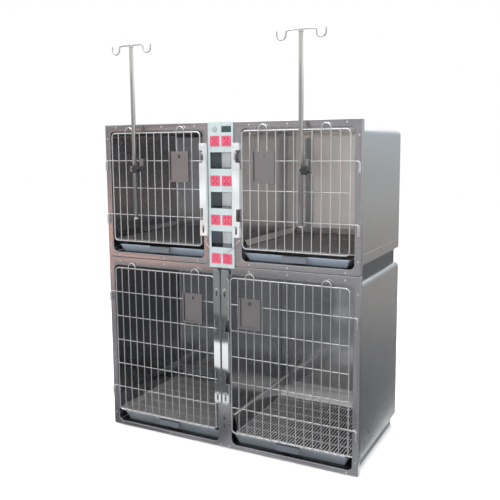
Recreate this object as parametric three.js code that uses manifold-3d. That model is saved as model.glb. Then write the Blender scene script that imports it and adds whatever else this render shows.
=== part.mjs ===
// Veterinary kennel cage bank: two stacked stainless steel units with two compartments each.
// Units are millimetres, +Z up, +X to the right, the doors face -Y.
// The origin is on the floor, under the middle of the cabinet depth and width.
import * as THREE from "three";
import { mergeVertices } from "three/addons/utils/BufferGeometryUtils.js";
import Module from "manifold-3d";

const wasm = await Module();
wasm.setup();

// ---------------------------------------------------------------- driving dimensions
const HALF_W = 610; // half width of the face frames
const DEPTH = 574; // face plane to back
const F = -DEPTH / 2; // face plane
const B = DEPTH / 2; // back plane
const SHEET = 1.5; // sheet thickness
const SIDE_X = 606; // outside of the side panels
const PLINTH_X = 583; // outside of the recessed plinths
const FLANGE = 20; // return flange round each face frame
const SEAM = 816; // joint between the upper and the lower unit
const TOP = 1419; // top of the upper face frame
const OPEN_X = 582; // outer edge of the four openings
const POST_U = 92; // half width of the upper centre post
const POST_L = 33; // half width of the lower centre post
const OPEN_UZ = [840.6, 1390]; // upper openings, bottom and top
const OPEN_LZ = [22.6, 778]; // lower openings, bottom and top
const BODY_UZ = [857, 1386]; // upper body, bottom and top
const BODY_LZ = [61, 787]; // lower body, bottom and top
const BASE_UZ = [787.4, 841]; // upper plinth
const BASE_LZ = [0, 23]; // lower plinth
const R_BEND = 14; // bend radius of the body sheets
const WIRE = 5; // grille wire
const GRILLE = [F - 12.8, F - 3.4]; // both layers of door wires
const TRAY_X = 560; // outer edge of the trays
const HINGE_X = 600; // hinge axis
const HINGE_Y = F - 6;
const LATCH_TRAVEL = 25;
const TRAY_FLARE = 18; // how far each tray wall leans out over its height
const TRAY = { upper: [841.4, 34], lower: [23.4, 43] }; // underside and height
const PANEL = { x: 60, z0: 808, z1: 1419, t: 6.2 };
const SOCKET_Z = [1340.5, 1175.8, 1011.2, 846.5];
const SOCKET_X = 27.5;
const SOCKET = { w: 44.4, h: 42.4 };
const BAY_Z = [1260.5, 1094.8, 929.2];
const BAY = { w: 99, h: 68, d: 88, t: 1.2 };
const POLE = { r: 9.5, z0: 1001, z1: 1744, y: F - 38 };
const POLE_X = { left: -419, right: 376 };

const DOORS = {
  upper_left: { s: -1, x0: 100, x1: 565, z0: 895, z1: 1380, cols: 12, rows: 4, hinges: [1, 3], tongues: [1, 3], loops: [2, 9], tongue: 83 },
  upper_right: { s: 1, x0: 100, x1: 565, z0: 895, z1: 1380, cols: 12, rows: 4, hinges: [1, 3], tongues: [1, 3], loops: [2, 9], tongue: 83 },
  lower_left: { s: -1, x0: 40, x1: 568, z0: 82, z1: 767, cols: 14, rows: 6, hinges: [1, 5], tongues: [2, 4], loops: [2, 11], tongue: 23 },
  lower_right: { s: 1, x0: 40, x1: 568, z0: 82, z1: 767, cols: 14, rows: 6, hinges: [1, 5], tongues: [2, 4], loops: [2, 11], tongue: 23 },
};
const CARDS = {
  upper_left: [-252, 1169],
  upper_right: [152, 1169],
  lower_left: [-196, 554],
  lower_right: [86, 556],
};
const BARS = {
  upper: { x0: 63, x1: 95, z0: 944, z1: 1333, studs: [985, 1290] },
  lower: { x0: 4, x1: 35, z0: 215, z1: 800, studs: [255, 715] },
};

// ---------------------------------------------------------------- helpers
const boxGeo = (x0, x1, y0, y1, z0, z1) =>
  new THREE.BoxGeometry(x1 - x0, y1 - y0, z1 - z0).translate((x0 + x1) / 2, (y0 + y1) / 2, (z0 + z1) / 2);

function solid(geometry) {
  const g = (geometry.index ? geometry.toNonIndexed() : geometry.clone());
  for (const name of Object.keys(g.attributes)) if (name !== "position") g.deleteAttribute(name);
  const m = mergeVertices(g, 1e-3);
  return new wasm.Manifold(
    new wasm.Mesh({
      numProp: 3,
      vertProperties: new Float32Array(m.attributes.position.array),
      triVerts: new Uint32Array(m.index.array),
    }),
  );
}
const box = (...a) => solid(boxGeo(...a));
const join = (first, ...rest) => rest.reduce((a, b) => a.add(b), first);
const cut = (first, ...rest) => rest.reduce((a, b) => a.subtract(b), first);

function geometryOf(made) {
  const m = made.getMesh(), n = m.numProp, v = new Float32Array(m.numVert * 3);
  for (let i = 0; i < m.numVert; i++) v.set(m.vertProperties.subarray(i * n, i * n + 3), i * 3);
  const g = new THREE.BufferGeometry();
  g.setAttribute("position", new THREE.BufferAttribute(v, 3));
  g.setIndex(new THREE.BufferAttribute(new Uint32Array(m.triVerts), 1));
  g.computeVertexNormals();
  return g;
}

// A cylinder with its axis along "x", "y" or "z".
function rod(r, axis, a, b, u, v, sides = 12, r2 = r) {
  const g = new THREE.CylinderGeometry(r2, r, b - a, sides);
  if (axis === "z") g.rotateX(Math.PI / 2).translate(u, v, (a + b) / 2);
  if (axis === "y") g.translate(u, (a + b) / 2, v);
  if (axis === "x") g.rotateZ(-Math.PI / 2).translate((a + b) / 2, u, v);
  return solid(g);
}

// A rectangle with rounded corners in X and Z, as a THREE.Shape or a hole path.
function roundRect(Kind, x0, x1, z0, z1, r) {
  const s = new Kind();
  s.moveTo(x0 + r, z0);
  s.lineTo(x1 - r, z0);
  s.absarc(x1 - r, z0 + r, r, -Math.PI / 2, 0, false);
  s.lineTo(x1, z1 - r);
  s.absarc(x1 - r, z1 - r, r, 0, Math.PI / 2, false);
  s.lineTo(x0 + r, z1);
  s.absarc(x0 + r, z1 - r, r, Math.PI / 2, Math.PI, false);
  s.lineTo(x0, z0 + r);
  s.absarc(x0 + r, z0 + r, r, Math.PI, 1.5 * Math.PI, false);
  return s;
}
const rectPath = (x0, x1, z0, z1) => {
  const p = new THREE.Path();
  p.moveTo(x0, z0);
  p.lineTo(x0, z1);
  p.lineTo(x1, z1);
  p.lineTo(x1, z0);
  p.closePath();
  return p;
};
// A shape drawn in X and Z, extruded from y0 to y1.
function plate(shape, y0, y1, segments = 4) {
  const g = new THREE.ExtrudeGeometry(shape, { depth: y1 - y0, bevelEnabled: false, curveSegments: segments });
  g.rotateX(Math.PI / 2); // shape y becomes z, depth runs to -y
  g.translate(0, y1, 0);
  return solid(g);
}
const polygon = (points) => new THREE.Shape(points.map(([x, z]) => new THREE.Vector2(x, z)));

const MATERIAL = {
  frame: new THREE.MeshStandardMaterial({ color: 0x9a9695, roughness: 0.3, metalness: 1 }),
  body: new THREE.MeshStandardMaterial({ color: 0x9c9d9b, roughness: 0.35, metalness: 1 }),
  inner: new THREE.MeshStandardMaterial({ color: 0x8d8c8a, roughness: 0.25, metalness: 1 }),
  wire: new THREE.MeshStandardMaterial({ color: 0xc9c9cc, roughness: 0.18, metalness: 1 }),
  bar: new THREE.MeshStandardMaterial({ color: 0xdfe2e2, roughness: 0.08, metalness: 1 }),
  tray: new THREE.MeshStandardMaterial({ color: 0x8493a6, roughness: 0.4, metalness: 0.7 }),
  card: new THREE.MeshStandardMaterial({ color: 0x8f8685, roughness: 0.4, metalness: 0.9 }),
  grid: new THREE.MeshStandardMaterial({ color: 0x77777a, roughness: 0.3, metalness: 1 }),
  panel: new THREE.MeshStandardMaterial({ color: 0xd9e8e8, roughness: 0.35, metalness: 0 }),
  display: new THREE.MeshStandardMaterial({ color: 0x22332f, roughness: 0.12, metalness: 0 }),
  button: new THREE.MeshStandardMaterial({ color: 0x9aa0a6, roughness: 0.4, metalness: 0 }),
  socket: new THREE.MeshStandardMaterial({ color: 0xe8486a, roughness: 0.35, metalness: 0 }),
  bay: new THREE.MeshStandardMaterial({ color: 0xbfc6cc, roughness: 0.15, metalness: 0.9 }),
  pole: new THREE.MeshStandardMaterial({ color: 0xd6d4cf, roughness: 0.12, metalness: 1 }),
  clamp: new THREE.MeshStandardMaterial({ color: 0xc4c6c8, roughness: 0.25, metalness: 1 }),
  knob: new THREE.MeshStandardMaterial({ color: 0x1a1b1d, roughness: 0.5, metalness: 0 }),
  inlet: new THREE.MeshStandardMaterial({ color: 0x1c1c1e, roughness: 0.5, metalness: 0 }),
};

const cage = new THREE.Group();
function add(name, made, material, parent = cage) {
  const mesh = new THREE.Mesh(made.isBufferGeometry ? made : geometryOf(made), material);
  mesh.name = name;
  parent.add(mesh);
  return mesh;
}

const pitchX = (d) => (d.x1 - d.x0) / d.cols;
const rowZ = (d, i) => d.z1 - ((d.z1 - d.z0) / d.rows) * i; // row 0 is the top wire

// ---------------------------------------------------------------- face frames
// One folded sheet each, with a return flange all round, hinge sleeves on the outer
// stiles and shouldered studs on the centre post that guide the latch bars.
function faceFrame(z0, z1, openings, doors, bar) {
  const t = SHEET;
  let made = cut(box(-HALF_W, HALF_W, F, F + FLANGE, z0, z1), box(-HALF_W + t, HALF_W - t, F + t, F + FLANGE + 1, z0 + t, z1 - t));
  for (const [x0, x1, a, b, r] of openings) made = cut(made, plate(roundRect(THREE.Shape, x0, x1, a, b, r), F - 1, F + t + 1, 3));
  for (const d of doors)
    for (const i of d.hinges) {
      const z = rowZ(d, i);
      const lug = box(d.s * HINGE_X - 5, d.s * HINGE_X + 5, HINGE_Y + 1, F + 0.5, z - 40, z - 6);
      made = join(made, lug, rod(6, "z", z - 43, z - 4, d.s * HINGE_X, HINGE_Y, 10));
    }
  for (const d of doors)
    for (const i of d.hinges) made = cut(made, rod(3.2, "z", rowZ(d, i) - 60, rowZ(d, i), d.s * HINGE_X, HINGE_Y, 6));
  for (const s of [-1, 1])
    for (const z of bar.studs) {
      const x = (s * (bar.x0 + bar.x1)) / 2;
      made = join(made, rod(3, "y", F - 26, F + 0.5, x, z, 6), rod(6, "y", F - 28, F - 25.6, x, z, 8));
    }
  return made;
}
add(
  "upper_face_frame",
  faceFrame(
    SEAM + 0.5,
    TOP,
    [
      [-OPEN_X, -POST_U, ...OPEN_UZ, 22],
      [POST_U, OPEN_X, ...OPEN_UZ, 22],
      [-54, 54, 822, 1404, 2],
    ],
    [DOORS.upper_left, DOORS.upper_right],
    BARS.upper,
  ),
  MATERIAL.frame,
);
add(
  "lower_face_frame",
  faceFrame(
    3,
    SEAM - 0.5,
    [
      [-OPEN_X, -POST_L, ...OPEN_LZ, 22],
      [POST_L, OPEN_X, ...OPEN_LZ, 22],
    ],
    [DOORS.lower_left, DOORS.lower_right],
    BARS.lower,
  ),
  MATERIAL.frame,
);

// ---------------------------------------------------------------- body sheets
// Side panel: flat sheet with a bend at the top and a joggle in at the foot,
// down to the top of the plinth.
function sidePanel(s, z0, z1, plinth) {
  const t = SHEET, R = R_BEND, arc = [], inner = [];
  for (let i = 0; i <= 4; i++) {
    const a = (i / 4) * (Math.PI / 2);
    arc.push([SIDE_X - R + R * Math.cos(a), z1 - R + R * Math.sin(a)]);
    inner.unshift([SIDE_X - R + (R - t) * Math.cos(a), z1 - R + (R - t) * Math.sin(a)]);
  }
  const points = [
    [PLINTH_X - t, plinth + 0.3],
    [PLINTH_X, plinth + 0.3],
    [PLINTH_X, z0],
    [SIDE_X, z0],
    ...arc,
    ...inner,
    [SIDE_X - t, z0 + t],
    [PLINTH_X - t, z0 + t],
  ].map(([x, z]) => [s * x, z]);
  if (s < 0) points.reverse();
  return plate(polygon(points), F + 2, B - t - 0.3);
}
for (const s of [-1, 1]) {
  const side = s < 0 ? "left" : "right";
  add("upper_side_" + side, sidePanel(s, BODY_UZ[0], BODY_UZ[1], BASE_UZ[1]), MATERIAL.body);
  add("lower_side_" + side, sidePanel(s, BODY_LZ[0], BODY_LZ[1] - 0, BASE_LZ[1]), MATERIAL.body);
}
const TOP_X = SIDE_X - R_BEND - 0.3;
add(
  "upper_top",
  cut(box(-TOP_X, TOP_X, F + 2, B - SHEET - 0.3, BODY_UZ[1] - SHEET, BODY_UZ[1]), box(-56, 56, F, F + 11.5, BODY_UZ[1] - 4, BODY_UZ[1] + 2)), // notch behind the service panel
  MATERIAL.body,
);
add("lower_top", box(-TOP_X, TOP_X, F + 2, B - SHEET - 0.3, BODY_LZ[1] - SHEET, BODY_LZ[1]), MATERIAL.body);
const backSheet = ([z0, z1], foot) => join(box(-SIDE_X, SIDE_X, B - SHEET, B, z0, z1), box(-PLINTH_X, PLINTH_X, B - SHEET, B, foot + 0.3, z0 + 5));
add("upper_back", backSheet(BODY_UZ, BASE_UZ[1]), MATERIAL.body);
add("lower_back", backSheet(BODY_LZ, BASE_LZ[1]), MATERIAL.body);

// Strip that closes the gap between the upper body and the head of its face frame.
add("top_closure_strip", box(-604, 604, F + 12.3, F + 13.8, BODY_UZ[1] + 0.4, TOP - SHEET - 0.4), MATERIAL.inner);

// Plinths: box section with a back wall, open to the front behind the face frame.
function plinth(z0, z1) {
  const t = SHEET, y0 = F + FLANGE + 2;
  return cut(box(-PLINTH_X, PLINTH_X, y0, B - 4, z0, z1), box(-PLINTH_X + t, PLINTH_X - t, y0 - 1, B - 4 - t, z0 + t, z1 - t));
}
add("upper_base", plinth(...BASE_UZ), MATERIAL.inner);
add("lower_base", plinth(...BASE_LZ), MATERIAL.inner);

// Service column between the upper compartments, and the divider between the lower ones.
for (const s of [-1, 1]) {
  const x = s * POST_U;
  add(
    "column_wall_" + (s < 0 ? "left" : "right"),
    box(Math.min(x, x - s * SHEET), Math.max(x, x - s * SHEET), F + SHEET + 0.3, B - SHEET - 0.3, BASE_UZ[1] + 0.3, BODY_UZ[1] - SHEET - 0.3),
    MATERIAL.inner,
  );
}
add(
  "lower_divider",
  cut(
    box(-POST_L, POST_L, F + SHEET + 0.3, B - SHEET - 0.3, BASE_LZ[1] + 0.3, BODY_LZ[1] - SHEET - 0.3),
    box(-POST_L + SHEET, POST_L - SHEET, F + 2 * SHEET + 0.3, B, 0, BODY_LZ[1] + 5),
  ),
  MATERIAL.inner,
);

// ---------------------------------------------------------------- service panel
const panelShape = roundRect(THREE.Shape, -PANEL.x, PANEL.x, PANEL.z0, PANEL.z1, 3);
const windows = [];
const pane = (x, z, w, h) => windows.push(box(x - w / 2, x + w / 2, F - 20, F + 5, z - h / 2, z + h / 2));
for (const z of SOCKET_Z) for (const s of [-1, 1]) pane(s * SOCKET_X, z, SOCKET.w + 0.7, SOCKET.h + 0.7);
for (const z of BAY_Z) pane(0, z, BAY.w + 0.7, BAY.h + 0.7);
pane(28, 1389.5, 47, 26);
windows.push(rod(11.3, "y", F - 20, F + 5, -28, 1389.5, 20));
add("service_panel", cut(plate(panelShape, F - PANEL.t - 0.3, F - 0.3), ...windows), MATERIAL.panel);
add("display_window", box(4.9, 51.1, F - 5.5, F + 10, 1376.9, 1402.1), MATERIAL.display);
add("call_button", join(rod(10.6, "y", F - 9.5, F + 3, -28, 1389.5, 20), rod(4, "y", F + 2.8, F + 8, -28, 1389.5, 8)), MATERIAL.button);
SOCKET_Z.forEach((z, row) =>
  ["left", "right"].forEach((side, i) => {
    const x = (i ? 1 : -1) * SOCKET_X;
    const face = box(x - SOCKET.w / 2, x + SOCKET.w / 2, F - 8.4, F + 1, z - SOCKET.h / 2, z + SOCKET.h / 2);
    const back = box(x - 19, x + 19, F + 0.8, F + 20, z - 18, z + 18);
    add(`socket_${row + 1}_${side}`, join(face, back), MATERIAL.socket);
  }),
);
BAY_Z.forEach((z, i) => {
  const t = BAY.t, x = BAY.w / 2, h = BAY.h / 2;
  add(
    ["bay_top", "bay_middle", "bay_bottom"][i],
    cut(box(-x, x, F - PANEL.t, F + BAY.d, z - h, z + h), box(-x + t, x - t, F - 20, F + BAY.d - t, z - h + t, z + h - t)),
    MATERIAL.bay,
  );
});
add(
  "power_inlet",
  cut(
    join(box(-25, 25, B + 0.3, B + 3, 1187, 1213), box(-14, 14, B + 2.5, B + 6, 1189.5, 1210.5)),
    box(-11.5, 11.5, B + 1.8, B + 7, 1192, 1208),
  ),
  MATERIAL.inlet,
);

// ---------------------------------------------------------------- doors
// Flat welded grille: outer wire, uprights, cross wires, two stop loops at the top,
// hinge arms that turn down into the sleeves, and tongues that the latch bar holds.
function door(d) {
  const w = WIRE / 2, p = pitchX(d), X = (x) => d.s * x;
  const bar = (x0, x1, z, h = w) => box(Math.min(x0, x1), Math.max(x0, x1), ...GRILLE, z - h, z + h);
  const arm = (x0, x1, z) => box(Math.min(x0, x1), Math.max(x0, x1), F - 8.5, F - 3.5, z - w, z + w);
  const upright = (x, h = w) => box(X(x) - h, X(x) + h, ...GRILLE, d.z0 - 3, d.z1 + 3);
  const grille = [];
  for (let i = 0; i <= d.cols; i++) grille.push(upright(d.x0 + i * p, i % d.cols ? w : 3));
  for (let j = 0; j <= d.rows; j++) grille.push(bar(X(d.x0) - 3 * d.s, X(d.x1) + 3 * d.s, rowZ(d, j), j % d.rows ? w : 3));
  const outline = roundRect(THREE.Shape, Math.min(X(d.x0), X(d.x1)) - 3, Math.max(X(d.x0), X(d.x1)) + 3, d.z0 - 3, d.z1 + 3, 8);
  let made = join(...grille).intersect(plate(outline, F - 20, F, 3));
  for (const i of d.hinges) {
    const z = rowZ(d, i);
    made = join(made, arm(X(d.x1), X(HINGE_X), z), rod(2.5, "z", z - 34, z + 2.5, X(HINGE_X), HINGE_Y, 8));
  }
  for (const i of d.tongues) made = join(made, arm(X(d.x0), X(d.tongue), rowZ(d, i)));
  for (const i of d.loops) {
    // counted from the hinge side
    const a = d.x1 - i * p, b = a - p, r = p / 2, c = (a + b) / 2, zc = d.z1 + 27 - r - w;
    const ring = new THREE.Shape();
    ring.moveTo(X(c) + r + w, d.z1);
    ring.lineTo(X(c) + r + w, zc);
    ring.absarc(X(c), zc, r + w, 0, Math.PI, false);
    ring.lineTo(X(c) - r - w, d.z1);
    ring.lineTo(X(c) - r + w, d.z1);
    ring.lineTo(X(c) - r + w, zc);
    ring.absarc(X(c), zc, r - w, Math.PI, 0, true);
    ring.lineTo(X(c) + r - w, d.z1);
    made = join(made, plate(ring, F - 12.8, F - 7.8, 4));
  }
  return made;
}
// Card holder: back plate with folded lips left, right and below, and a thumb window.
function cardHolder(x, z) {
  const w = 100, h = 130, y0 = F - 19.1, y1 = F - 13.1;
  return cut(
    box(x, x + w, y0, y1, z, z + h),
    box(x + 1.2, x + w - 1.2, y0 + 1.2, y1 - 1.2, z + 1.2, z + h + 1),
    box(x + 7, x + w - 7, y0 - 1, y0 + 3, z + 7, z + h + 1),
    box(x + w / 2 - 8, x + w / 2 + 8, y0, y1 + 1, z + h - 30, z + h - 13),
  );
}
for (const [name, d] of Object.entries(DOORS)) {
  add("door_" + name, door(d), MATERIAL.wire);
  add("card_holder_" + name, cardHolder(...CARDS[name]), MATERIAL.card);
}

// ---------------------------------------------------------------- latch bars
// U-section bar on two guide studs. The notch in its door side lets the tongue out;
// raised by its travel, the bar stands in front of the tongue and holds the door shut.
function latchBar(d, b) {
  const X = (x0, x1) => [Math.min(d.s * x0, d.s * x1), Math.max(d.s * x0, d.s * x1)];
  const t = 1.5, y0 = F - 24, y1 = F - 2;
  const parts = (x0, x1, ya, yb, za, zb) => box(...X(x0, x1), ya, yb, za, zb);
  let made = cut(parts(b.x0, b.x1, y0, y1, b.z0, b.z1), parts(b.x0 + t, b.x1 - t, y0 + t, y1 + 1, b.z0 - 1, b.z1 + 1));
  made = join(made, parts(b.x0 + 3, b.x1 - 3, y0 - 9, y0 + 1, b.z0, b.z0 + 2)); // thumb lip at the foot
  for (const z of b.studs) made = cut(made, parts((b.x0 + b.x1) / 2 - 4, (b.x0 + b.x1) / 2 + 4, y0 - 1, y0 + t + 1, z - LATCH_TRAVEL - 4, z + 4.5));
  if (b.z1 + LATCH_TRAVEL > PANEL.z0 && b.x0 < PANEL.x) made = cut(made, parts(b.x0 - 1, b.x1 + 1, F - 8.5, y1 + 1, PANEL.z0 - LATCH_TRAVEL - 3, b.z1 + 1));
  for (const i of d.tongues) {
    const z = rowZ(d, i);
    made = cut(made, parts(d.tongue - 3, b.x1 + 1, y0 - 1, y1 + 1, z - 7, z + 44));
    made = cut(made, parts(b.x1 - t - 1, b.x1 + 1, F - 10.5, y1 + 1, z - 36, z - 6));
  }
  return made;
}
for (const name of Object.keys(DOORS)) add("latch_bar_" + name, latchBar(DOORS[name], name.startsWith("upper") ? BARS.upper : BARS.lower), MATERIAL.bar);

// Wire bail across the service column under the two upper bars, its feet on the stiles.
const bailPoints = [[-80, -0.3, 925], [-80, -9, 925], [-77, -13, 919], [-66, -14, 903], [-48, -14, 886], [-25, -14, 875], [0, -14, 871]];
const bailPath = new THREE.CatmullRomCurve3(
  [...bailPoints, ...bailPoints.slice(0, -1).reverse().map(([x, y, z]) => [-x, y, z])].map(([x, y, z]) => new THREE.Vector3(x, F + y, z)),
);
const bailSection = new THREE.Shape([0, 1, 2, 3, 4].map((i) => new THREE.Vector2(1.6 * Math.cos(i * 1.2566), 1.6 * Math.sin(i * 1.2566))));
add("bail_wire", solid(new THREE.ExtrudeGeometry(bailSection, { steps: 26, bevelEnabled: false, extrudePath: bailPath })), MATERIAL.wire);

// ---------------------------------------------------------------- trays
// Flared waste pan with a pull tab on its front wall.
function frustum(x0, x1, y0, y1, z0, z1, flare) {
  const g = boxGeo(x0, x1, y0, y1, z0, z1), p = g.attributes.position;
  for (let i = 0; i < p.count; i++)
    if (p.getZ(i) < (z0 + z1) / 2) {
      p.setX(i, p.getX(i) + (p.getX(i) < (x0 + x1) / 2 ? flare : -flare));
      p.setY(i, p.getY(i) + (p.getY(i) < (y0 + y1) / 2 ? flare : -flare));
    }
  return solid(g);
}
function tray(s, post, z0, height) {
  const a = s * (post + 3.5), b = s * TRAY_X, x0 = Math.min(a, b), x1 = Math.max(a, b), c = (x0 + x1) / 2;
  const y0 = F + 16, y1 = B - 12, z1 = z0 + height, t = 1.2;
  const pan = cut(
    frustum(x0, x1, y0, y1, z0, z1, TRAY_FLARE),
    frustum(x0 + t, x1 - t, y0 + t, y1 - t, z0 + t, z1 + 0.01, TRAY_FLARE),
    box(x0 + t, x1 - t, y0 + t, y1 - t, z1 - 0.2, z1 + 2),
  );
  return join(pan, box(c - 53, c + 53, F + 4, F + 5.2, z1 - 26, z1), box(c - 53, c + 53, F + 4.4, y0 + 1, z1 - 1.2, z1));
}
for (const name of Object.keys(DOORS)) {
  const upper = name.startsWith("upper");
  add("tray_" + name, tray(DOORS[name].s, upper ? POST_U : POST_L, ...(upper ? TRAY.upper : TRAY.lower)), MATERIAL.tray);
}

// ---------------------------------------------------------------- floor grids
// Lift-out grid above each tray: rim and bearers; the close bars are a thin deck here.
for (const name of Object.keys(DOORS)) {
  const upper = name.startsWith("upper"), s = DOORS[name].s;
  const a = s * ((upper ? POST_U : POST_L) + 3), b = s * (SIDE_X - 5), x0 = Math.min(a, b), x1 = Math.max(a, b);
  const z = upper ? 894 : 74, y0 = F + 6, y1 = B - 6;
  add("floor_grid_" + name, box(x0, x1, y0, y1, z, z + 8), MATERIAL.grid);
}

// ---------------------------------------------------------------- infusion poles
for (const side of ["left", "right"]) {
  const x = POLE_X[side], d = DOORS["upper_" + side], zw = rowZ(d, 1), kx = x + 25.5, kz = zw - 34;
  // Clamp: bored block round the pole, arm to the knob, and a jaw over the cross wire.
  const jaw0 = side === "left" ? -402 : 381, jaw1 = jaw0 + 20;
  let clamp = join(
    box(x - 14, x + 14, POLE.y - 14, POLE.y + 14, zw - 46, zw - 22),
    box(x + 10, x + 40, POLE.y - 10, POLE.y + 13, zw - 46, zw - 22),
    box(jaw0, jaw1, POLE.y + 10.5, F - 13.1, zw - 30, zw + 8),
    box(jaw0, jaw1, F - 13.4, F - 0.7, zw + 2.8, zw + 8),
    box(jaw0, jaw1, F - 2.7, F - 0.7, zw - 4, zw + 8),
  );
  clamp = cut(clamp, rod(10.1, "z", zw - 60, zw, x, POLE.y, 16), rod(4.3, "y", POLE.y - 20, POLE.y + 3, kx, kz, 12));
  add("iv_clamp_" + side, clamp, MATERIAL.clamp);
  // Star knob with its screw.
  const star = new THREE.Shape();
  for (let i = 0; i <= 24; i++) {
    const q = (i / 24) * 2 * Math.PI, r = 18.5 + 2.5 * Math.cos(6 * q);
    i ? star.lineTo(kx + r * Math.cos(q), kz + r * Math.sin(q)) : star.moveTo(kx + r, kz);
  }
  add("iv_knob_" + side, join(plate(star, F - 74, F - 60), rod(8, "y", F - 60.5, F - 53, kx, kz, 12), rod(3.8, "y", F - 54, F - 36, kx, kz, 10)), MATERIAL.knob);
  // Pole: round tube, open at the foot and stopped at the head.
  add("iv_pole_" + side, cut(rod(POLE.r, "z", POLE.z0, POLE.z1, x, POLE.y, 16), rod(POLE.r - 1.2, "z", POLE.z0 - 1, POLE.z1 - 12, x, POLE.y, 16)), MATERIAL.pole);
  // Hook head: cap and one bent rod with a hook at each end.
  const pts = [];
  const zb = POLE.z1 + 11, half = 63, r = 19;
  const one = [];
  one.push([half + 2 * r, zb + 1]);
  for (let i = 0; i <= 8; i++) {
    const q = (i / 8) * Math.PI;
    one.push([half + r + r * Math.cos(q), zb - 16 - r * Math.sin(q)]);
  }
  one.push([half - 0.5, zb - 5], [half - 5, zb]);
  for (const [u, z] of one) pts.push(new THREE.Vector3(x + u, POLE.y, z));
  for (const [u, z] of one.slice().reverse()) pts.push(new THREE.Vector3(x - u, POLE.y, z));
  const path = new THREE.CurvePath();
  for (let i = 1; i < pts.length; i++) path.add(new THREE.LineCurve3(pts[i - 1], pts[i]));
  const sec = new THREE.Shape();
  for (let i = 0; i < 5; i++) {
    const q = (i / 5) * 2 * Math.PI + 0.01;
    i ? sec.lineTo(3 * Math.cos(q), 3 * Math.sin(q)) : sec.moveTo(3 * Math.cos(q), 3 * Math.sin(q));
  }
  const curve = new THREE.CatmullRomCurve3(pts, false, "catmullrom", 0.3);
  const rodGeo = new THREE.ExtrudeGeometry(sec, { steps: 32, bevelEnabled: false, extrudePath: curve });
  add("iv_hook_" + side, join(solid(rodGeo), rod(POLE.r, "z", POLE.z1 + 0.3, POLE.z1 + 17, x, POLE.y, 16, 7)), MATERIAL.pole);
}

export default cage;
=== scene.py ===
"""Looks of the kennel cage bank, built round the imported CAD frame. Millimetres in the code, metres in Blender."""

import math

import bmesh
import bpy
from mathutils import Matrix, Vector
from mathutils.geometry import tessellate_polygon


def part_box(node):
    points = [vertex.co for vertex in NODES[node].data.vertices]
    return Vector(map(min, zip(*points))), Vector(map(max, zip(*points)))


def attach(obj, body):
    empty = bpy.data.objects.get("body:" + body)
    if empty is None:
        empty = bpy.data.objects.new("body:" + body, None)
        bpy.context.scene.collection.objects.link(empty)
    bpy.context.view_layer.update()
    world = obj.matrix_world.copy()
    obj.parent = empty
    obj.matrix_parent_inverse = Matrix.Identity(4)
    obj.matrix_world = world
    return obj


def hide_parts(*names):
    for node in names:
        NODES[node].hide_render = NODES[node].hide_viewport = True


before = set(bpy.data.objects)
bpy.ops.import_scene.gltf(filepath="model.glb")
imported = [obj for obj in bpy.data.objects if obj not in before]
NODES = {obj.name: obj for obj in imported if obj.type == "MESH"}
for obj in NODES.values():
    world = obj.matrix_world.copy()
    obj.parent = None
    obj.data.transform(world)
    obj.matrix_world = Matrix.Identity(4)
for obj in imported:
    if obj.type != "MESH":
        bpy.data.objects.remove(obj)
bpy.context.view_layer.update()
MM = 0.001
PI = math.pi


def mm_box(node):
    """A CAD node's box in millimetres: (x0, y0, z0), (x1, y1, z1)."""
    lo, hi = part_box(node)
    return [v * 1000 for v in lo], [v * 1000 for v in hi]


# ------------------------------------------------------------------ anchors from the frame
UF0, UF1 = mm_box("upper_face_frame")
LF0, LF1 = mm_box("lower_face_frame")
HALF_W = UF1[0]
_back = mm_box("upper_back")
B = _back[1][1]
F = B - 574.0  # face plane: the frames' studs and sleeves stand in front of it
SIDE_X = _back[1][0]
U_BODY = (857.0, _back[1][2])
L_BODY = (61.0, mm_box("lower_back")[1][2])
PLINTH_X = mm_box("upper_base")[1][0]
FLANGE, SHEET = 20.0, 1.5
OPEN_X, POST_U, POST_L = 582.0, 92.0, 33.0
OPEN_UZ, OPEN_LZ = (840.6, 1390.0), (22.6, 778.0)
HINGE_X, HINGE_Y = 600.0, F - 6.0
DOORS = {
    "upper_left": dict(s=-1, x0=100, x1=565, z0=895, z1=1380, cols=12, rows=4, hinges=(1, 3), tongues=(1, 3), loops=(2, 9), tongue=83),
    "upper_right": dict(s=1, x0=100, x1=565, z0=895, z1=1380, cols=12, rows=4, hinges=(1, 3), tongues=(1, 3), loops=(2, 9), tongue=83),
    "lower_left": dict(s=-1, x0=40, x1=568, z0=82, z1=767, cols=14, rows=6, hinges=(1, 5), tongues=(2, 4), loops=(2, 11), tongue=23),
    "lower_right": dict(s=1, x0=40, x1=568, z0=82, z1=767, cols=14, rows=6, hinges=(1, 5), tongues=(2, 4), loops=(2, 11), tongue=23),
}
POLE_Y = F - 38.0


# ------------------------------------------------------------------ materials
def node_tree(name):
    m = bpy.data.materials.new(name)
    m.use_nodes = True
    nt = m.node_tree
    return m, nt, nt.nodes["Principled BSDF"]


def noise(nt, scale, stretch=(1, 1, 1), detail=3.0, rough=0.55):
    tc = nt.nodes.new("ShaderNodeTexCoord")
    mp = nt.nodes.new("ShaderNodeMapping")
    mp.inputs["Scale"].default_value = stretch
    nz = nt.nodes.new("ShaderNodeTexNoise")
    nz.inputs["Scale"].default_value = scale
    nz.inputs["Detail"].default_value = detail
    nz.inputs["Roughness"].default_value = rough
    nt.links.new(tc.outputs["Object"], mp.inputs["Vector"])
    nt.links.new(mp.outputs["Vector"], nz.inputs["Vector"])
    return nz.outputs["Fac"]


def ramp(nt, fac, stops):
    r = nt.nodes.new("ShaderNodeValToRGB")
    e = r.color_ramp.elements
    while len(e) < len(stops):
        e.new(0.5)
    for el, (pos, col) in zip(e, stops):
        el.position = pos
        el.color = (*col, 1) if len(col) == 3 else col
    nt.links.new(fac, r.inputs["Fac"])
    return r.outputs["Color"]


def grey(v):
    return (v, v, v)


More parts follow.
